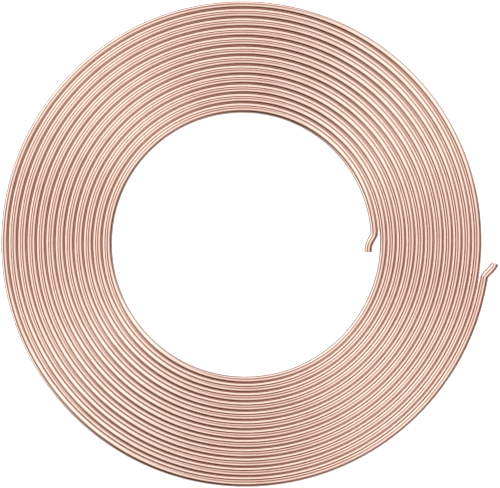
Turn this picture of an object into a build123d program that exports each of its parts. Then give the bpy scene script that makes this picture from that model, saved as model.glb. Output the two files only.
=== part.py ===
"""Flat coil of soft copper tube: a single-layer spiral with a bent open end inside and another outside."""
import os

from build123d import *

# Tube, in millimetres: the 5/16 in size of soft refrigeration tube
tube_od = 7.94
tube_wall = 0.81

# Winding: half turns about two axes. Each turn has six sides, as wide and as high as the round tube,
# so that it keeps few faces and lies on a flat
turns = 12
turn_gap = 2.2
first_radius = 143.0
turn_flat = 4.0

# Bent ends: the winding stops short of the right-hand split line by an angle, then comes a kink,
# a run, a bend back and a straight round end with the tube's real bore
inner_stop = 4.3
inner_kink = 36.0
inner_run = 7.6
inner_bend_back = 30.0
outer_stop = 8.9
outer_kink = 35.0
outer_run = 6.8
outer_bend_back = 20.0
kink_radius = 8.0
bend_back_radius = 10.0
straight_end = 6.0

# A half turn ends half a pitch further out than it began, so the two axes lie half a pitch apart
pitch = tube_od + turn_gap
tube_radius = tube_od / 2
bore_radius = tube_radius - tube_wall
last_radius = first_radius + (turns - 1) * pitch + pitch / 2
upper_centre = Vector(-pitch / 4, 0, tube_radius)
lower_centre = Vector(pitch / 4, 0, tube_radius)
half_turn = 180


def ray(angle):
    """Unit vector in the coil's plane, at this angle from +X."""
    return Vector(1, 0, 0).rotate(Axis.Z, angle)


def bent_path(start, tangent, kink, run, bend_back):
    """Centre line of a bent end, from where the winding stops to the foot of the straight end."""
    with BuildLine() as path:
        first_bend = JernArc(start, tangent, kink_radius, kink)
        middle = Line(first_bend @ 1, first_bend @ 1 + (first_bend % 1) * run)
        JernArc(middle @ 1, middle % 1, bend_back_radius, bend_back)
    return path.wire()


inner_path = bent_path(
    upper_centre + ray(inner_stop) * first_radius,
    ray(inner_stop - 90),
    -inner_kink,
    inner_run,
    inner_bend_back,
)
outer_path = bent_path(
    lower_centre + ray(-outer_stop) * last_radius,
    ray(90 - outer_stop),
    -outer_kink,
    outer_run,
    outer_bend_back,
)

# One section for each time the tube crosses the left-hand split line, from the innermost outwards
section_corners = [
    (turn_flat / 2, tube_radius),
    (tube_radius, 0),
    (turn_flat / 2, -tube_radius),
    (-turn_flat / 2, -tube_radius),
    (-tube_radius, 0),
    (-turn_flat / 2, tube_radius),
]
crossing_places = [(upper_centre.X - first_radius - turn * pitch, tube_radius) for turn in range(turns)]
with BuildSketch(Plane.XZ) as crossings:
    with Locations(*crossing_places):
        Polygon(*section_corners, align=None)
sections = crossings.sketch.faces().sort_by(Axis.X, reverse=True)

with BuildPart() as copper_tube_coil:
    # Every section is turned over the top about one axis and under the bottom about the other
    over_the_top = Axis(upper_centre, (0, 0, -1))
    under_the_bottom = Axis(lower_centre, (0, 0, 1))
    revolve(sections[1:], axis=over_the_top, revolution_arc=half_turn)
    revolve(sections[0], axis=over_the_top, revolution_arc=half_turn - inner_stop)
    revolve(sections[:-1], axis=under_the_bottom, revolution_arc=half_turn)
    revolve(sections[-1], axis=under_the_bottom, revolution_arc=half_turn - outer_stop)

    # Each end carries on from the face where the winding stops
    for path in (inner_path, outer_path):
        stop_face = copper_tube_coil.faces().sort_by_distance(path @ 0)[0]
        sweep(stop_face, path=path)
        with BuildSketch(Plane(path @ 1, z_dir=path % 1)):
            Circle(tube_radius)
            Circle(bore_radius, mode=Mode.SUBTRACT)
        extrude(amount=straight_end)

copper_tube_coil.part.label = "copper_tube_coil"
os.makedirs("parts", exist_ok=True)
export_step(copper_tube_coil.part, "parts/copper_tube_coil.step")
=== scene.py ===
# %% [markdown]
# # A flat coil of soft copper tube
# The object is one length of annealed copper tube, wound flat as twelve turns in a single layer, with a short
# bent open end inside the coil and another outside it. The CAD part is a fixed frame in metres: every piece
# made here stands where the CAD solid stands. The CAD turns are a six-sided bar, so this script replaces them
# with the real thing, a round hollow tube.

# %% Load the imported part
import math

import bpy
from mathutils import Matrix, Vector


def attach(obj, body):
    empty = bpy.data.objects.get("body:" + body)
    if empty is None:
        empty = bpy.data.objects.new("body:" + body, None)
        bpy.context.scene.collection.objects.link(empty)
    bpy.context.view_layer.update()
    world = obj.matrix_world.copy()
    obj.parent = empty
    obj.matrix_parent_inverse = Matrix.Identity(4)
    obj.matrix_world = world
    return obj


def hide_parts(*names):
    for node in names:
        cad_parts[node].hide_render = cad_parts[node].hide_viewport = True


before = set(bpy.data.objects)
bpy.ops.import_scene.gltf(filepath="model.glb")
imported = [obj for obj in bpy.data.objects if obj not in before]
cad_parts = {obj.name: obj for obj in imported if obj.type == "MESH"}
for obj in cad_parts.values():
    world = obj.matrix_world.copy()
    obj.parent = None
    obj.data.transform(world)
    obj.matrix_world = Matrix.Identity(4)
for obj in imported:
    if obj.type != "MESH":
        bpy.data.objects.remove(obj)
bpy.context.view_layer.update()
millimetre = 0.001

# %% [markdown]
# ## The camera
# The photograph looks straight down on the coil. A coil of bright tube is a mirror, so the distance of the
# camera matters even though the picture is flat: from nearer, the highlights move towards the outer side of
# each turn. A lens of 135 mm puts them where the photograph has them. The camera also leans a little: the
# turns are spread by a fraction of a millimetre at the top of the picture, which is nearer to it. The middle
# of the picture is a few millimetres to the right of the coil's axis, because the outer end sticks out there.

# %% Camera straight above the coil
tube_diameter = 7.94 * millimetre
tube_radius = tube_diameter / 2
view_width = 537.85 * millimetre
picture_middle = Vector((6.72, -1.52, 0.0)) * millimetre
camera_data = bpy.data.cameras.new("camera")
camera_data.lens = 135.0
camera_distance = view_width * camera_data.lens / camera_data.sensor_width
camera_lean = math.radians(1.65)
camera = bpy.data.objects.new("camera", camera_data)
camera.rotation_euler.x = -camera_lean
camera.location = picture_middle + Vector((0.0, 0.0, tube_radius))
camera.location += camera_distance * Vector((0.0, math.sin(camera_lean), math.cos(camera_lean)))
bpy.context.scene.collection.objects.link(camera)
bpy.context.scene.camera = camera
print("camera height in metres:", round(camera.location.z, 4))

# %% [markdown]
# ## The centre line of the winding
# A tube wound turn beside turn is an Archimedean spiral: its radius grows by one pitch, the tube's diameter
# plus the gap, in every turn. It could be drawn as a curve object with a round bevel, but a bevel can't be
# hollow and has no cut ends. So the centre line is kept as a list of stations, each a point and a heading,
# and rings of vertices are set on them later. A wound coil is never quite round, and this one is a few tenths
# of a millimetre taller than it is wide.

# %% Stations along the spiral
turn_gap = 2.169 * millimetre
turn_pitch = tube_diameter + turn_gap
first_radius = 140.73 * millimetre
wound_turns = 12
ovalness = 0.0006
inner_stop = 4.8 / 360
outer_stop = 9.3 / 360
stations_per_turn = 160


def spiral_station(turn):
    """Point on the centre line after this many turns from +X, and the heading of the tube there."""
    angle = math.tau * turn
    radius = first_radius + turn_pitch * turn
    reach_x = radius * (1.0 - ovalness)
    reach_y = radius * (1.0 + ovalness)
    point = Vector((reach_x * math.cos(angle), reach_y * math.sin(angle), tube_radius))
    lean_outwards = math.atan2(turn_pitch / math.tau, radius)
    return point, angle + math.pi / 2 - lean_outwards


wound_span = wound_turns - outer_stop - inner_stop
wound_steps = round(wound_span * stations_per_turn)
wound = [spiral_station(inner_stop + wound_span * step / wound_steps) for step in range(wound_steps + 1)]
print("stations on the winding:", len(wound))

# %% [markdown]
# ## The two bent ends
# Each end of the tube is bent a little, as by hand: a kink out of the winding, a short run, and a bend part
# of the way back. Soft tube bent by hand has no exact arcs, because the bend eases in and out. So each end
# is walked in small steps, and each bend adds its angle to the heading along a smooth S-shaped ramp.

# %% Walk out along a bent end
walk_step = 0.75 * millimetre


def eased(share):
    """Smooth ramp from 0 to 1."""
    share = min(max(share, 0.0), 1.0)
    return share * share * (3.0 - 2.0 * share)


def walk_end(start, heading, bends, reach):
    """Stations of a bent end. Each bend is its middle, its length and its angle, in mm and degrees."""
    steps = round(reach * millimetre / walk_step)
    length = reach * millimetre / steps
    stations = []
    point = start.copy()
    for step in range(steps):
        walked = (step + 0.5) * length / millimetre
        ahead = heading
        for middle, span, angle in bends:
            ahead += math.radians(angle) * eased((walked - middle) / span + 0.5)
        point = point + Vector((math.cos(ahead), math.sin(ahead), 0.0)) * length
        stations.append((point, ahead))
    return stations


# %% Inner and outer end
inner_bends = [(3.1, 7.0, -35.0), (14.8, 13.0, 26.5)]
outer_bends = [(6.3, 4.5, -34.5), (20.3, 9.0, 25.0)]
inner_reach = 23.2
outer_reach = 24.0
inner_walk = walk_end(wound[0][0], wound[0][1] - math.pi, inner_bends, inner_reach)
outer_walk = walk_end(wound[-1][0], wound[-1][1], outer_bends, outer_reach)
inner_end = [(point, heading + math.pi) for point, heading in reversed(inner_walk)]
centre_line = inner_end + wound + outer_walk
tube_length = sum(
    (after[0] - before[0]).length for before, after in zip(centre_line, centre_line[1:])
)
for name, (point, _) in (("inner", centre_line[0]), ("outer", centre_line[-1])):
    print(name, "end at", [round(value / millimetre, 2) for value in point], "mm")
print("tube length in metres:", round(tube_length, 3))

# %% [markdown]
# ## The skin of the tube
# A hollow tube is one closed skin: along the outside, over the cut rim, back through the bore, and over the
# rim at the other cut. So the mesh is a closed row of rings, each with the same number of vertices. A wheel
# cutter rolls the rim in a little and leaves a small burr inside, which the rim's profile follows.

# %% Rings: outside, rim, bore and rim
ring_sides = 32
tube_wall = 0.81 * millimetre
bore_radius = tube_radius - tube_wall
bore_every = 2
rim_profile = [
    (0.55, 0.0),
    (0.28, 0.025),
    (0.10, 0.10),
    (0.0, 0.23),
    (0.0, 0.61),
    (0.05, 0.72),
    (0.20, 0.79),
    (0.55, 0.81),
]
outside_kind, rim_kind, bore_kind = range(3)


def rim_rings(station, outwards):
    """Rings over a cut end. The profile is setback from the cut and depth from the outside, in mm."""
    point, heading = station
    direction = Vector((math.cos(heading), math.sin(heading), 0.0)) * outwards
    return [
        (point - direction * setback * millimetre, heading, tube_radius - depth * millimetre, rim_kind)
        for setback, depth in rim_profile
    ]


outside_rings = [(point, heading, tube_radius, outside_kind) for point, heading in centre_line[1:-1]]
bore_rings = [(point, heading, bore_radius, bore_kind) for point, heading in centre_line[1:-1:bore_every]]
rings = outside_rings
rings = rings + rim_rings(centre_line[-1], 1.0)
rings = rings + bore_rings[::-1]
rings = rings + rim_rings(centre_line[0], -1.0)[::-1]
print("rings:", len(rings), "triangles:", 2 * ring_sides * len(rings))

# %% Vertices and faces
ring_angles = [math.tau * side / ring_sides - math.pi / 2 for side in range(ring_sides)]


def ring_points(ring):
    """Vertices of one ring, starting at the underside."""
    point, heading, radius, _ = ring
    sideways = Vector((math.sin(heading), -math.cos(heading), 0.0))
    upwards = Vector((0.0, 0.0, 1.0))
    return [point + (sideways * math.cos(a) + upwards * math.sin(a)) * radius for a in ring_angles]


vertices = [vertex for ring in rings for vertex in ring_points(ring)]
faces = []
face_kinds = []
for index, ring in enumerate(rings):
    following = (index + 1) % len(rings)
    next_kind = rings[following][3]
    for side in range(ring_sides):
        beside = (side + 1) % ring_sides
        faces.append(
            (
                index * ring_sides + side,
                following * ring_sides + side,
                following * ring_sides + beside,
                index * ring_sides + beside,
            )
        )
        face_kinds.append(ring[3] if ring[3] == next_kind else rim_kind)
tube_mesh = bpy.data.meshes.new("copper_tube")
tube_mesh.from_pydata(vertices, [], faces)
tube_mesh.polygons.foreach_set("material_index", face_kinds)
tube_mesh.shade_smooth()
tube = bpy.data.objects.new("copper_tube", tube_mesh)
bpy.context.scene.collection.objects.link(tube)
print("faces:", len(tube_mesh.polygons), "valid already:", not tube_mesh.validate())

# %% [markdown]
# ## Coordinates on the tube
# Drawn tube is marked lengthwise, so its finish needs two coordinates: metres along the tube and metres
# around it. They go into a UV map, as if the tube were slit underneath and rolled out flat. A second map lays
# the same long ribbon out in rows on a square, which is what a baked picture of the finish needs.

# %% Length of tube at each ring
metres_along = [0.0]
for before, after in zip(rings, rings[1:]):
    metres_along.append(metres_along[-1] + (after[0] - before[0]).length)
ribbon_rows = 16
ring_count = len(rings)
rings_in_row = math.ceil(ring_count / ribbon_rows)
row_margin = 0.04


def sheet_place(ring_index, side):
    """Metres along and around the tube."""
    return metres_along[ring_index], math.tau * tube_radius * side / ring_sides


def row_place(ring_index, side, row):
    """Place in the square: the row's length across, and the way around the tube up."""
    along_row = (ring_index - row * rings_in_row) / rings_in_row
    up = (row + row_margin + (1.0 - 2.0 * row_margin) * side / ring_sides) / ribbon_rows
    return along_row, up


# %% Write both maps
sheet_values = []
row_values = []
for index in range(ring_count):
    row = index // rings_in_row
    for side in range(ring_sides):
        corners = ((index, side), (index + 1, side), (index + 1, side + 1), (index, side + 1))
        for ring_index, ring_side in corners:
            sheet_values.extend(sheet_place(min(ring_index, ring_count - 1), ring_side))
            row_values.extend(row_place(ring_index, ring_side, row))
tube_mesh.uv_layers.new(name="tube_sheet").uv.foreach_set("vector", sheet_values)
tube_mesh.uv_layers.new(name="OFBake").uv.foreach_set("vector", row_values)
print("UV maps:", [layer.name for layer in tube_mesh.uv_layers])

# %% [markdown]
# ## Drawn lines
# Copper tube is pulled through a die, which leaves faint lines along it, finer than a hair and many
# centimetres long. Both the outside and the bore have them, so they are a node group. The group rolls the
# flat coordinates back into a tube, so that the pattern has no seam, and stretches a noise along it.

# %% Helpers for nodes
def add_node(tree, kind, label, **settings):
    """A node with a name and its settings."""
    node = tree.nodes.new(kind)
    node.name = label
    node.label = label
    for setting, value in settings.items():
        setattr(node, setting, value)
    return node


def set_inputs(node, **values):
    """Constant inputs, named with _ for a space."""
    for name, value in values.items():
        node.inputs[name.replace("_", " ")].default_value = value


# %% Node group: lines along the tube
drawn_lines = bpy.data.node_groups.new("drawn_lines", "ShaderNodeTree")
drawn_lines.interface.new_socket("Line width", in_out="INPUT", socket_type="NodeSocketFloat")
drawn_lines.interface.new_socket("Line length", in_out="INPUT", socket_type="NodeSocketFloat")
drawn_lines.interface.new_socket("Lines", in_out="OUTPUT", socket_type="NodeSocketFloat")
drawn_lines.interface.new_socket("Place", in_out="OUTPUT", socket_type="NodeSocketVector")
lines_in = add_node(drawn_lines, "NodeGroupInput", "in")
lines_out = add_node(drawn_lines, "NodeGroupOutput", "out")
sheet = add_node(drawn_lines, "ShaderNodeUVMap", "tube sheet", uv_map="tube_sheet")
sheet_axes = add_node(drawn_lines, "ShaderNodeSeparateXYZ", "along and around")
round_angle = add_node(drawn_lines, "ShaderNodeMath", "angle round the tube", operation="DIVIDE")
round_angle.inputs[1].default_value = tube_radius
across = add_node(drawn_lines, "ShaderNodeMath", "across", operation="COSINE")
upright = add_node(drawn_lines, "ShaderNodeMath", "upright", operation="SINE")
across_metres = add_node(drawn_lines, "ShaderNodeMath", "across in metres", operation="MULTIPLY")
upright_metres = add_node(drawn_lines, "ShaderNodeMath", "upright in metres", operation="MULTIPLY")
across_metres.inputs[1].default_value = tube_radius
upright_metres.inputs[1].default_value = tube_radius
rolled = add_node(drawn_lines, "ShaderNodeCombineXYZ", "rolled tube")
along_share = add_node(drawn_lines, "ShaderNodeMath", "along in lines", operation="DIVIDE")
across_share = add_node(drawn_lines, "ShaderNodeMath", "across in lines", operation="DIVIDE")
upright_share = add_node(drawn_lines, "ShaderNodeMath", "upright in lines", operation="DIVIDE")
stretched = add_node(drawn_lines, "ShaderNodeCombineXYZ", "stretched")
line_noise = add_node(drawn_lines, "ShaderNodeTexNoise", "line noise")
set_inputs(line_noise, Scale=1.0, Detail=3.0, Roughness=0.6)
join = drawn_lines.links.new
join(sheet.outputs["UV"], sheet_axes.inputs[0])
join(sheet_axes.outputs["Y"], round_angle.inputs[0])
join(round_angle.outputs[0], across.inputs[0])
join(round_angle.outputs[0], upright.inputs[0])
join(across.outputs[0], across_metres.inputs[0])
join(upright.outputs[0], upright_metres.inputs[0])
join(sheet_axes.outputs["X"], rolled.inputs["X"])
join(across_metres.outputs[0], rolled.inputs["Y"])
join(upright_metres.outputs[0], rolled.inputs["Z"])
for share, source, size in (
    (along_share, sheet_axes.outputs["X"], "Line length"),
    (across_share, across_metres.outputs[0], "Line width"),
    (upright_share, upright_metres.outputs[0], "Line width"),
):
    join(source, share.inputs[0])
    join(lines_in.outputs[size], share.inputs[1])
join(along_share.outputs[0], stretched.inputs["X"])
join(across_share.outputs[0], stretched.inputs["Y"])
join(upright_share.outputs[0], stretched.inputs["Z"])
join(stretched.outputs[0], line_noise.inputs["Vector"])
join(line_noise.outputs["Fac"], lines_out.inputs["Lines"])
join(rolled.outputs[0], lines_out.inputs["Place"])
print("group drawn_lines:", len(drawn_lines.nodes), "nodes")

# %% [markdown]
# ## Tarnish
# Even new copper isn't one colour. Annealing and handling leave patches that are a little browner and duller
# than the bright metal, a few centimetres long, with finer mottling inside them. All three copper surfaces
# share this, so it is a second group: it mixes a bright and a dull colour, and does the same for roughness.

# %% Node group: bright and dull patches
tarnish = bpy.data.node_groups.new("tarnish", "ShaderNodeTree")
for name, kind in (
    ("Place", "NodeSocketVector"),
    ("Bright", "NodeSocketColor"),
    ("Dull", "NodeSocketColor"),
    ("Bright roughness", "NodeSocketFloat"),
    ("Dull roughness", "NodeSocketFloat"),
    ("Patch size", "NodeSocketFloat"),
):
    tarnish.interface.new_socket(name, in_out="INPUT", socket_type=kind)
for name, kind in (("Colour", "NodeSocketColor"), ("Roughness", "NodeSocketFloat")):
    tarnish.interface.new_socket(name, in_out="OUTPUT", socket_type=kind)
tarnish_in = add_node(tarnish, "NodeGroupInput", "in")
tarnish_out = add_node(tarnish, "NodeGroupOutput", "out")
patch_place = add_node(tarnish, "ShaderNodeVectorMath", "in patches", operation="SCALE")
patch_scale = add_node(tarnish, "ShaderNodeMath", "patches in a metre", operation="DIVIDE")
patch_scale.inputs[0].default_value = 1.0
patch_noise = add_node(tarnish, "ShaderNodeTexNoise", "patches")
set_inputs(patch_noise, Scale=1.0, Detail=5.0, Roughness=0.55)
patch_mask = add_node(tarnish, "ShaderNodeMapRange", "patch mask", interpolation_type="SMOOTHSTEP")
set_inputs(patch_mask, From_Min=0.42, From_Max=0.72)
patch_colour = add_node(tarnish, "ShaderNodeMix", "patch colour", data_type="RGBA")
patch_roughness = add_node(tarnish, "ShaderNodeMix", "patch roughness", data_type="FLOAT")
join = tarnish.links.new
join(tarnish_in.outputs["Patch size"], patch_scale.inputs[1])
join(tarnish_in.outputs["Place"], patch_place.inputs[0])
join(patch_scale.outputs[0], patch_place.inputs["Scale"])
join(patch_place.outputs[0], patch_noise.inputs["Vector"])
join(patch_noise.outputs["Fac"], patch_mask.inputs["Value"])
join(patch_mask.outputs[0], patch_colour.inputs["Factor"])
join(tarnish_in.outputs["Bright"], patch_colour.inputs["A"])
join(tarnish_in.outputs["Dull"], patch_colour.inputs["B"])
join(patch_mask.outputs[0], patch_roughness.inputs["Factor"])
join(tarnish_in.outputs["Bright roughness"], patch_roughness.inputs["A"])
join(tarnish_in.outputs["Dull roughness"], patch_roughness.inputs["B"])
join(patch_colour.outputs["Result"], tarnish_out.inputs["Colour"])
join(patch_roughness.outputs["Result"], tarnish_out.inputs["Roughness"])
print("group tarnish:", len(tarnish.nodes), "nodes")

# %% [markdown]
# ## Three copper finishes
# The outside is bright drawn copper, the bore is the same metal but duller because no die polishes it, and
# the cut rim is raw metal with the cutter's marks. Each is a metal in the Principled shader. The two groups
# give the colour, the roughness and the height of the lines, and each finish has its own values.

# %% Make a copper finish
def copper_finish(name, bright, dull, roughness, patch_size, line_size, line_depth):
    """A copper material. Sizes are in metres, and roughness is the bright and the dull value."""
    material = bpy.data.materials.new(name)
    material.use_nodes = True
    tree = material.node_tree
    shader = tree.nodes["Principled BSDF"]
    set_inputs(shader, Metallic=1.0)
    lines = add_node(tree, "ShaderNodeGroup", "drawn lines", node_tree=drawn_lines)
    lines.inputs["Line width"].default_value = line_size[0]
    lines.inputs["Line length"].default_value = line_size[1]
    patches = add_node(tree, "ShaderNodeGroup", "tarnish", node_tree=tarnish)
    patches.inputs["Bright"].default_value = (*bright, 1.0)
    patches.inputs["Dull"].default_value = (*dull, 1.0)
    patches.inputs["Bright roughness"].default_value = roughness[0]
    patches.inputs["Dull roughness"].default_value = roughness[1]
    patches.inputs["Patch size"].default_value = patch_size
    bump = add_node(tree, "ShaderNodeBump", "line depth")
    set_inputs(bump, Strength=1.0, Distance=line_depth)
    tree.links.new(lines.outputs["Place"], patches.inputs["Place"])
    tree.links.new(patches.outputs["Colour"], shader.inputs["Base Color"])
    tree.links.new(patches.outputs["Roughness"], shader.inputs["Roughness"])
    tree.links.new(lines.outputs["Lines"], bump.inputs["Height"])
    tree.links.new(bump.outputs["Normal"], shader.inputs["Normal"])
    return material


# %% Outside, rim and bore
bright_copper = copper_finish(
    "bright_drawn_copper",
    bright=(0.935, 0.725, 0.642),
    dull=(0.885, 0.655, 0.56),
    roughness=(0.08, 0.14),
    patch_size=0.03,
    line_size=(0.0004, 0.06),
    line_depth=0.000002,
)
cut_copper = copper_finish(
    "cut_copper",
    bright=(0.96, 0.66, 0.54),
    dull=(0.86, 0.55, 0.43),
    roughness=(0.26, 0.36),
    patch_size=0.002,
    line_size=(0.0003, 0.0006),
    line_depth=0.00001,
)
bore_copper = copper_finish(
    "bore_copper",
    bright=(0.82, 0.5, 0.38),
    dull=(0.62, 0.34, 0.24),
    roughness=(0.34, 0.48),
    patch_size=0.02,
    line_size=(0.0006, 0.05),
    line_depth=0.000006,
)
for material in (bright_copper, cut_copper, bore_copper):
    tube_mesh.materials.append(material)
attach(tube, "root")
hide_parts("copper_tube_coil")
print("finishes:", [material.name for material in tube_mesh.materials])

# %% [markdown]
# ## The floor
# The coil lies on a plain white sheet. Between the turns, most of the light that arrives has touched copper,
# so the sheet is painted cream there: a painted reflection of that bounced light, because the renderer would
# need many bounces between two mirrors to follow it. A place is between the turns if the spiral, undone, has
# a turn on its inner side and another on its outer side. Polished copper would show a white sheet as a bright
# band along both sides of every turn, and the photograph has dark ones, so in mirrors the sheet counts with a
# smaller share, and to bounced light it is black: painted shade on the sheet where the copper mirrors it. A
# metre or two away, out of the lamp's reach, the sheet turns into a plain white backdrop.

# %% Sheet under the coil
floor_reach = 30.0
floor_mesh = bpy.data.meshes.new("floor")
corner_sides = ((-1, -1), (1, -1), (1, 1), (-1, 1))
floor_corners = [(side_x * floor_reach, side_y * floor_reach, 0.0) for side_x, side_y in corner_sides]
floor_mesh.from_pydata(floor_corners, [], [(0, 1, 2, 3)])
floor = bpy.data.objects.new("floor", floor_mesh)
bpy.context.scene.collection.objects.link(floor)
paper = bpy.data.materials.new("pale_sheet")
paper.use_nodes = True
paper_tree = paper.node_tree
paper_tree.nodes.clear()
floor_mesh.materials.append(paper)
print("floor:", 2 * floor_reach, "metres square")

# %% Mask: between the turns
place = add_node(paper_tree, "ShaderNodeNewGeometry", "place on the sheet")
place_axes = add_node(paper_tree, "ShaderNodeSeparateXYZ", "across and up the picture")
from_axis = add_node(paper_tree, "ShaderNodeVectorMath", "distance from the axis", operation="LENGTH")
bearing = add_node(paper_tree, "ShaderNodeMath", "bearing", operation="ARCTAN2")
bearing_turns = add_node(paper_tree, "ShaderNodeMath", "bearing in turns", operation="DIVIDE")
from_start = add_node(paper_tree, "ShaderNodeMath", "turns from the start", operation="SUBTRACT")
part_turn = add_node(paper_tree, "ShaderNodeMath", "part of a turn", operation="FRACT")
past_start = add_node(paper_tree, "ShaderNodeMath", "past the starting radius", operation="SUBTRACT")
pitches_out = add_node(paper_tree, "ShaderNodeMath", "pitches out", operation="DIVIDE")
turn_number = add_node(paper_tree, "ShaderNodeMath", "turn number", operation="SUBTRACT")
whole_turns = add_node(paper_tree, "ShaderNodeMath", "whole turns", operation="FLOOR")
turn_inside = add_node(paper_tree, "ShaderNodeMath", "turn on the inner side", operation="ADD")
after_first = add_node(paper_tree, "ShaderNodeMath", "after the first turn", operation="GREATER_THAN")
before_last = add_node(paper_tree, "ShaderNodeMath", "before the last turn", operation="LESS_THAN")
between_turns = add_node(paper_tree, "ShaderNodeMath", "between the turns", operation="MULTIPLY")
bearing_turns.inputs[1].default_value = math.tau
from_start.inputs[1].default_value = inner_stop
past_start.inputs[1].default_value = first_radius + turn_pitch * inner_stop
pitches_out.inputs[1].default_value = turn_pitch
after_first.inputs[1].default_value = 0.0
before_last.inputs[1].default_value = wound_span - 1.0
join = paper_tree.links.new
join(place.outputs["Position"], place_axes.inputs[0])
join(place.outputs["Position"], from_axis.inputs[0])
join(place_axes.outputs["Y"], bearing.inputs[0])
join(place_axes.outputs["X"], bearing.inputs[1])
join(bearing.outputs[0], bearing_turns.inputs[0])
join(bearing_turns.outputs[0], from_start.inputs[0])
join(from_start.outputs[0], part_turn.inputs[0])
join(from_axis.outputs["Value"], past_start.inputs[0])
join(past_start.outputs[0], pitches_out.inputs[0])
join(pitches_out.outputs[0], turn_number.inputs[0])
join(part_turn.outputs[0], turn_number.inputs[1])
join(turn_number.outputs[0], after_first.inputs[0])
join(turn_number.outputs[0], whole_turns.inputs[0])
join(whole_turns.outputs[0], turn_inside.inputs[0])
join(part_turn.outputs[0], turn_inside.inputs[1])
join(turn_inside.outputs[0], before_last.inputs[0])
join(after_first.outputs[0], between_turns.inputs[0])
join(before_last.outputs[0], between_turns.inputs[1])
print("nodes in the mask:", len(paper_tree.nodes))

# %% Sheet as the eye sees it, painted cream between the turns, and painted dark in mirrors and to bounced light
# Painted shade: in mirrors the sheet shows at only this share of its brightness.
mirror_share = 0.26
sheet_white = (1.0, 1.0, 1.0, 1.0)
# Painted shade: the sheet is black to bounced light, and mostly this dark in mirrors.
painted_dark_sheet = (0.0, 0.0, 0.0, 1.0)
# Painted reflection: this cream stands for light bounced off the copper into the gaps between the turns.
painted_copper_bounce = (1.0, 0.785, 0.68, 1.0)
lamplight_reach = (0.6, 2.0)
seen_by = add_node(paper_tree, "ShaderNodeLightPath", "ray")
looked_at = add_node(paper_tree, "ShaderNodeMath", "looked at", operation="MAXIMUM")
mirrored = add_node(paper_tree, "ShaderNodeMath", "share in mirrors", operation="MULTIPLY")
mirrored.inputs[1].default_value = mirror_share
shown = add_node(paper_tree, "ShaderNodeMath", "looked at or mirrored", operation="MAXIMUM")
painted_bounce_tint = add_node(paper_tree, "ShaderNodeMix", "painted copper bounce between the turns", data_type="RGBA")
painted_bounce_tint.inputs["A"].default_value = sheet_white
painted_bounce_tint.inputs["B"].default_value = painted_copper_bounce
sheet_colour = add_node(paper_tree, "ShaderNodeMix", "sheet colour", data_type="RGBA")
sheet_colour.inputs["A"].default_value = painted_dark_sheet
sheet_shader = add_node(paper_tree, "ShaderNodeBsdfDiffuse", "sheet")
further_away = add_node(paper_tree, "ShaderNodeMapRange", "further away", interpolation_type="SMOOTHSTEP")
set_inputs(further_away, From_Min=lamplight_reach[0], From_Max=lamplight_reach[1])
far_white = add_node(paper_tree, "ShaderNodeMath", "white further away", operation="MULTIPLY")
backdrop = add_node(paper_tree, "ShaderNodeEmission", "backdrop")
set_inputs(backdrop, Color=sheet_white)
sheet_and_backdrop = add_node(paper_tree, "ShaderNodeAddShader", "sheet and backdrop")
paper_output = add_node(paper_tree, "ShaderNodeOutputMaterial", "output")
join(seen_by.outputs["Is Camera Ray"], looked_at.inputs[0])
join(seen_by.outputs["Is Transmission Ray"], looked_at.inputs[1])
join(seen_by.outputs["Is Glossy Ray"], mirrored.inputs[0])
join(looked_at.outputs[0], shown.inputs[0])
join(mirrored.outputs[0], shown.inputs[1])
join(between_turns.outputs[0], painted_bounce_tint.inputs["Factor"])
join(painted_bounce_tint.outputs["Result"], sheet_colour.inputs["B"])
join(shown.outputs[0], sheet_colour.inputs["Factor"])
join(sheet_colour.outputs["Result"], sheet_shader.inputs["Color"])
join(from_axis.outputs["Value"], further_away.inputs["Value"])
join(further_away.outputs[0], far_white.inputs[0])
join(shown.outputs[0], far_white.inputs[1])
join(far_white.outputs[0], backdrop.inputs["Strength"])
join(sheet_shader.outputs[0], sheet_and_backdrop.inputs[0])
join(backdrop.outputs[0], sheet_and_backdrop.inputs[1])
join(sheet_and_backdrop.outputs[0], paper_output.inputs["Surface"])
print("the sheet's share in mirrors:", mirror_share)

# %% [markdown]
# ## Light on the sheet
# The sheet is brightest in the middle of each gap, because only light from straight above gets down there. A
# wide round lamp round the camera gives that shadow. It lights the sheet alone, through light linking, so it
# puts no extra light on the coil.

# %% Lamp for the sheet alone
sheet_light = 0.97
lamp_half_angle = math.radians(14.0)
lamp_distance = camera.location.z
sheet_lamp_data = bpy.data.lights.new("sheet_lamp", "AREA")
sheet_lamp_data.shape = "DISK"
sheet_lamp_data.size = 2.0 * lamp_distance * math.tan(lamp_half_angle)
sheet_lamp_data.energy = sheet_light * (math.pi * lamp_distance / math.cos(lamp_half_angle)) ** 2
sheet_lamp = bpy.data.objects.new("sheet_lamp", sheet_lamp_data)
sheet_lamp.location = camera.location
sheet_lamp.visible_camera = False
bpy.context.scene.collection.objects.link(sheet_lamp)
lit_by_sheet_lamp = bpy.data.collections.new("lit_by_sheet_lamp")
lit_by_sheet_lamp.objects.link(floor)
sheet_lamp.light_linking.receiver_collection = lit_by_sheet_lamp

# %% [markdown]
# ## The studio lamps
# Polished metal has no shade of its own: what it shows is the room. The stripes in the photograph tell of a
# lamp over the coil, a brighter one up to the right, low lamps behind it and along the left, and little light
# from the lower right. Area lamps have hard edges that would show in the copper, so the lamps are soft spots
# of light in the world, far away: each is a group node with a direction, a tightness and a strength. They
# hang in rows, from overhead down to the horizon. The lamps of a row share its height and tightness, so each
# has only a bearing and a strength to choose.

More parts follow.
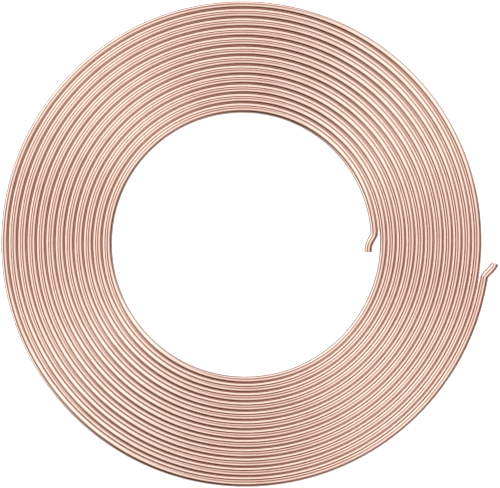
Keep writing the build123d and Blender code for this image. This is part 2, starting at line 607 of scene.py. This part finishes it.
# %% Node group: a soft lamp far away
soft_lamp = bpy.data.node_groups.new("soft_lamp", "ShaderNodeTree")
soft_lamp.interface.new_socket("Direction", in_out="INPUT", socket_type="NodeSocketVector")
soft_lamp.interface.new_socket("Tightness", in_out="INPUT", socket_type="NodeSocketFloat")
soft_lamp.interface.new_socket("Strength", in_out="INPUT", socket_type="NodeSocketFloat")
soft_lamp.interface.new_socket("Light so far", in_out="INPUT", socket_type="NodeSocketFloat")
soft_lamp.interface.new_socket("Light", in_out="OUTPUT", socket_type="NodeSocketFloat")
lamp_in = add_node(soft_lamp, "NodeGroupInput", "in")
lamp_out = add_node(soft_lamp, "NodeGroupOutput", "out")
looking = add_node(soft_lamp, "ShaderNodeTexCoord", "direction looked in")
nearness = add_node(soft_lamp, "ShaderNodeVectorMath", "nearness to the lamp", operation="DOT_PRODUCT")
off_lamp = add_node(soft_lamp, "ShaderNodeMath", "off the lamp", operation="SUBTRACT")
off_lamp.inputs[1].default_value = 1.0
fall_off = add_node(soft_lamp, "ShaderNodeMath", "fall off", operation="MULTIPLY")
spot = add_node(soft_lamp, "ShaderNodeMath", "spot", operation="EXPONENT")
add_up = add_node(soft_lamp, "ShaderNodeMath", "add to the light", operation="MULTIPLY_ADD")
join = soft_lamp.links.new
join(looking.outputs["Generated"], nearness.inputs[0])
join(lamp_in.outputs["Direction"], nearness.inputs[1])
join(nearness.outputs["Value"], off_lamp.inputs[0])
join(off_lamp.outputs[0], fall_off.inputs[0])
join(lamp_in.outputs["Tightness"], fall_off.inputs[1])
join(fall_off.outputs[0], spot.inputs[0])
join(spot.outputs[0], add_up.inputs[0])
join(lamp_in.outputs["Strength"], add_up.inputs[1])
join(lamp_in.outputs["Light so far"], add_up.inputs[2])
join(add_up.outputs[0], lamp_out.inputs["Light"])

# %% Rows of lamps: degrees from straight up, tightness, and each lamp's bearing and strength
lamp_rows = {
    "overhead": (5.0, 15.0, {"front": (270.0, 1.0)}),
    "panel": (40.0, 12.0, {"right": (40.0, 1.8), "left": (150.0, 0.5), "front_right": (310.0, 0.85)}),
    "side": (80.0, 10.0, {"back_left": (135.0, 2.5)}),
    "low": (
        90.0,
        12.0,
        {
            "right": (40.0, 1.4),
            "back": (90.0, 2.0),
            "left": (180.0, 1.8),
            "front_left": (210.0, 2.0),
            "front_right": (290.0, 0.2),
        },
    ),
}
world = bpy.data.worlds.new("studio")
bpy.context.scene.world = world
world.use_nodes = True
world_tree = world.node_tree
world_tree.nodes.clear()
light_so_far = None
for row_name, (from_up, tightness, row_lamps) in lamp_rows.items():
    level = math.sin(math.radians(from_up))
    for lamp_side, (lamp_bearing, strength) in row_lamps.items():
        lamp = add_node(world_tree, "ShaderNodeGroup", f"{row_name}_{lamp_side}", node_tree=soft_lamp)
        lamp.inputs["Direction"].default_value = (
            level * math.cos(math.radians(lamp_bearing)),
            level * math.sin(math.radians(lamp_bearing)),
            math.cos(math.radians(from_up)),
        )
        set_inputs(lamp, Tightness=tightness, Strength=strength)
        if light_so_far is not None:
            world_tree.links.new(light_so_far, lamp.inputs["Light so far"])
        light_so_far = lamp.outputs["Light"]
print("lamps:", sum(len(row_lamps) for _, _, row_lamps in lamp_rows.values()))

# %% [markdown]
# ## The room around the lamps
# Between the lamps the room is dim. The dark bands on the tube are brown in the photograph and not grey, so
# the dim light is warm: a colour ramp gives each level of light its tint. Behind the coil the world is plain
# white, for the eye and for glass. Copper has to see the lamps there, because a white room would leave it
# with no dark bands at all.

# %% Warm where dim, and plain white behind the coil
lamp_light = add_node(world_tree, "ShaderNodeBackground", "lamps")
white_behind = add_node(world_tree, "ShaderNodeBackground", "white behind")
set_inputs(white_behind, Color=sheet_white)
room_warmth = add_node(world_tree, "ShaderNodeValToRGB", "warm where dim")
room_warmth.color_ramp.elements[0].position = 0.06
room_warmth.color_ramp.elements[0].color = (1.0, 0.46, 0.32, 1.0)
room_warmth.color_ramp.elements[1].position = 0.95
room_warmth.color_ramp.elements[1].color = (1.0, 1.0, 1.0, 1.0)
for light_level, tint in (
    (0.2, (1.0, 0.58, 0.475, 1.0)),
    (0.5, (1.0, 0.66, 0.55, 1.0)),
    (0.7, (1.0, 0.785, 0.73, 1.0)),
):
    room_warmth.color_ramp.elements.new(light_level).color = tint
world_ray = add_node(world_tree, "ShaderNodeLightPath", "ray")
looked_through = add_node(world_tree, "ShaderNodeMath", "looked at or through", operation="MAXIMUM")
world_by_ray = add_node(world_tree, "ShaderNodeMixShader", "by ray")
world_output = add_node(world_tree, "ShaderNodeOutputWorld", "output")
join = world_tree.links.new
join(light_so_far, room_warmth.inputs["Fac"])
join(room_warmth.outputs["Color"], lamp_light.inputs["Color"])
join(light_so_far, lamp_light.inputs["Strength"])
join(world_ray.outputs["Is Camera Ray"], looked_through.inputs[0])
join(world_ray.outputs["Is Transmission Ray"], looked_through.inputs[1])
join(looked_through.outputs[0], world_by_ray.inputs["Fac"])
join(lamp_light.outputs[0], world_by_ray.inputs[1])
join(white_behind.outputs[0], world_by_ray.inputs[2])
join(world_by_ray.outputs[0], world_output.inputs["Surface"])
bpy.context.scene.view_settings.view_transform = "Standard"
